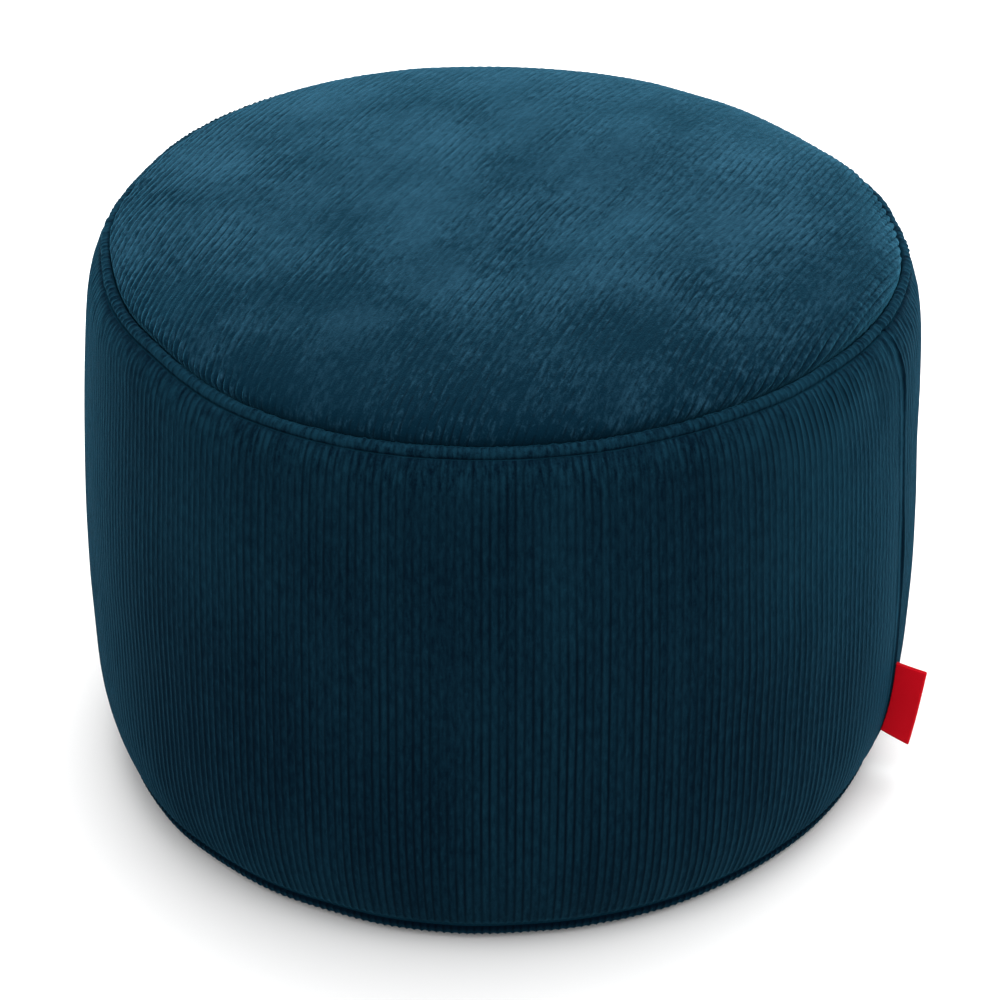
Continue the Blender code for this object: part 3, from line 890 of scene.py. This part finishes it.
share = np.linspace(0, 1, 61)[None]
up_share = np.linspace(0, 1, 49)[:, None]
turn = np.pi * (np.clip((share - FOLD_FROM) / (FOLD_TO - FOLD_FROM), 0, 1) - 0.5)
run = np.clip(np.minimum(share, 1 - share) / FOLD_FROM, 0, 1)
tab_reach = TAB_START + (TAB_REACH - TAB_FOLD - TAB_START) * run
tab_reach = tab_reach + TAB_FOLD * np.cos(turn) * (run >= 1)
tab_aside = TAB_FOLD * np.sin(turn)
tab_height = TAB_LOW + (TAB_HIGH - TAB_LOW) * up_share
root = settled(wall_radius(tab_height), SIDE_SEAM, tab_height)[:, 0]
up = unit(np.gradient(root, axis=0))
aside = np.array((np.cos(SIDE_SEAM), np.sin(SIDE_SEAM), 0))
outward = np.cross(aside, up)
outward *= np.sign(outward @ (np.sin(SIDE_SEAM), -np.cos(SIDE_SEAM), 0))[:, None]
outward = outward * np.cos(TAB_SWING) - aside * np.sin(TAB_SWING)
outward = outward * np.cos(TAB_DROOP) - up * np.sin(TAB_DROOP)

# The fold keeps straighter than the seam it hangs from, and the tape curls a little at its corners.
fold = root + TAB_REACH * outward
straight_fold = fold[0] + up_share * (fold[-1] - fold[0])
fold = (1 - TAB_STIFFNESS) * fold + TAB_STIFFNESS * straight_fold
outward = (fold - root) / TAB_REACH
curl = TAB_CURL * run**2 * (2 * up_share - 1) ** 2 + TAB_WAVE * np.sin(5 * up_share + 1) * run
tab_points = root[:, None] + tab_reach[..., None] * outward[:, None]
tab_points = tab_points + (tab_aside + curl)[..., None] * aside
tab_uv = np.stack(np.broadcast_arrays(share * 2 * TAB_REACH, up_share * (TAB_HIGH - TAB_LOW)), -1)
tab = cloth_piece("seam_tab", tab_points, tab_uv, closed_round=False)
thicken = tab.modifiers.new("tape", "SOLIDIFY")
thicken.thickness = TAB_THICK
thicken.offset = 0

tape, nodes, links, shader = new_finish("red_tape", 0.7, 0.05)
tape_place = nodes.new("ShaderNodeUVMap")
tape_place.uv_map = "wales"
picks = nodes.new("ShaderNodeTexWave")
picks.wave_type = "BANDS"
picks.bands_direction = "DIAGONAL"
picks.inputs["Scale"].default_value = 420
picks.inputs["Distortion"].default_value = 0.6
links.new(tape_place.outputs["UV"], picks.inputs["Vector"])
reds = nodes.new("ShaderNodeMix")
reds.data_type = "RGBA"
reds.inputs["A"].default_value = (0.44, 0.0008, 0.0068, 1)
reds.inputs["B"].default_value = (0.55, 0.0018, 0.0100, 1)
links.new(picks.outputs["Fac"], reds.inputs["Factor"])
links.new(reds.outputs["Result"], shader.inputs["Base Color"])
pick_bump = nodes.new("ShaderNodeBump")
pick_bump.inputs["Strength"].default_value = 0.25
pick_bump.inputs["Distance"].default_value = 0.0001
links.new(picks.outputs["Fac"], pick_bump.inputs["Height"])
links.new(pick_bump.outputs["Normal"], shader.inputs["Normal"])
tab.data.materials.append(tape)
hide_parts("side_tab")
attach(tab, "root")

# ---------------------------------------------------------------------------------------------
# Photographer's floor, light and camera: a plain white floor, a broad light behind and another
# overhead, white surroundings, and a long lens looking down at about 34 degrees.
# ---------------------------------------------------------------------------------------------
FLOOR_REACH = 8
FLOOR_GAP = 0.0002
LIT_SPOT = (0, 0, 0.2)
ELEVATION, ROLL = np.radians(33.61), np.radians(0.39)
AIM = Vector((-0.0022, 0, 0.1483))
CAMERA_AWAY = 2.0
SENSOR_MM = 36
FOCAL_SHARE = 3.2736

floor_mesh = bpy.data.meshes.new("floor")
directions = ((-1, -1), (1, -1), (1, 1), (-1, 1))
floor_corners = [(x * FLOOR_REACH, y * FLOOR_REACH, 0) for x, y in directions]
floor_mesh.from_pydata(floor_corners, [], [(0, 1, 2, 3)])
floor = bpy.data.objects.new("floor", floor_mesh)
floor.location.z = -FLOOR_GAP
bpy.context.scene.collection.objects.link(floor)
floor_paint, _, _, floor_shader = new_finish("floor_paint", 0.9)
floor_shader.inputs["Base Color"].default_value = (0.88, 0.88, 0.88, 1)
floor_mesh.materials.append(floor_paint)


def soft_light(name, place, aim, size, watts):
    """A square area light at place, facing aim."""
    data = bpy.data.lights.new(name, "AREA")
    data.size = size
    data.energy = watts
    light = bpy.data.objects.new(name, data)
    bpy.context.scene.collection.objects.link(light)
    light.location = place
    light.rotation_euler = (Vector(aim) - Vector(place)).to_track_quat("-Z", "Y").to_euler()


soft_light("behind", (0.3, 1.95, 2.3), LIT_SPOT, size=3.5, watts=72)
soft_light("overhead", (0.42, 0.05, 2.6), LIT_SPOT, size=2.7, watts=68)
world = bpy.data.worlds.new("studio")
world.use_nodes = True
world.node_tree.nodes["Background"].inputs["Color"].default_value = (1, 1, 1, 1)
world.node_tree.nodes["Background"].inputs["Strength"].default_value = 0.95
bpy.context.scene.world = world
bpy.context.scene.view_settings.view_transform = "Standard"

forward = Vector((0, np.cos(ELEVATION), -np.sin(ELEVATION)))
upward = Vector((0, np.sin(ELEVATION), np.cos(ELEVATION)))
sideways = Vector((1, 0, 0))
view_right = sideways * np.cos(ROLL) - upward * np.sin(ROLL)
view_up = upward * np.cos(ROLL) + sideways * np.sin(ROLL)
camera_data = bpy.data.cameras.new("camera")
camera_data.sensor_width = SENSOR_MM
camera_data.lens = SENSOR_MM * FOCAL_SHARE
camera = bpy.data.objects.new("camera", camera_data)
bpy.context.scene.collection.objects.link(camera)
turned = Matrix((view_right, view_up, -forward)).transposed().to_4x4()
camera.matrix_world = Matrix.Translation(AIM - forward * CAMERA_AWAY) @ turned
bpy.context.scene.camera = camera
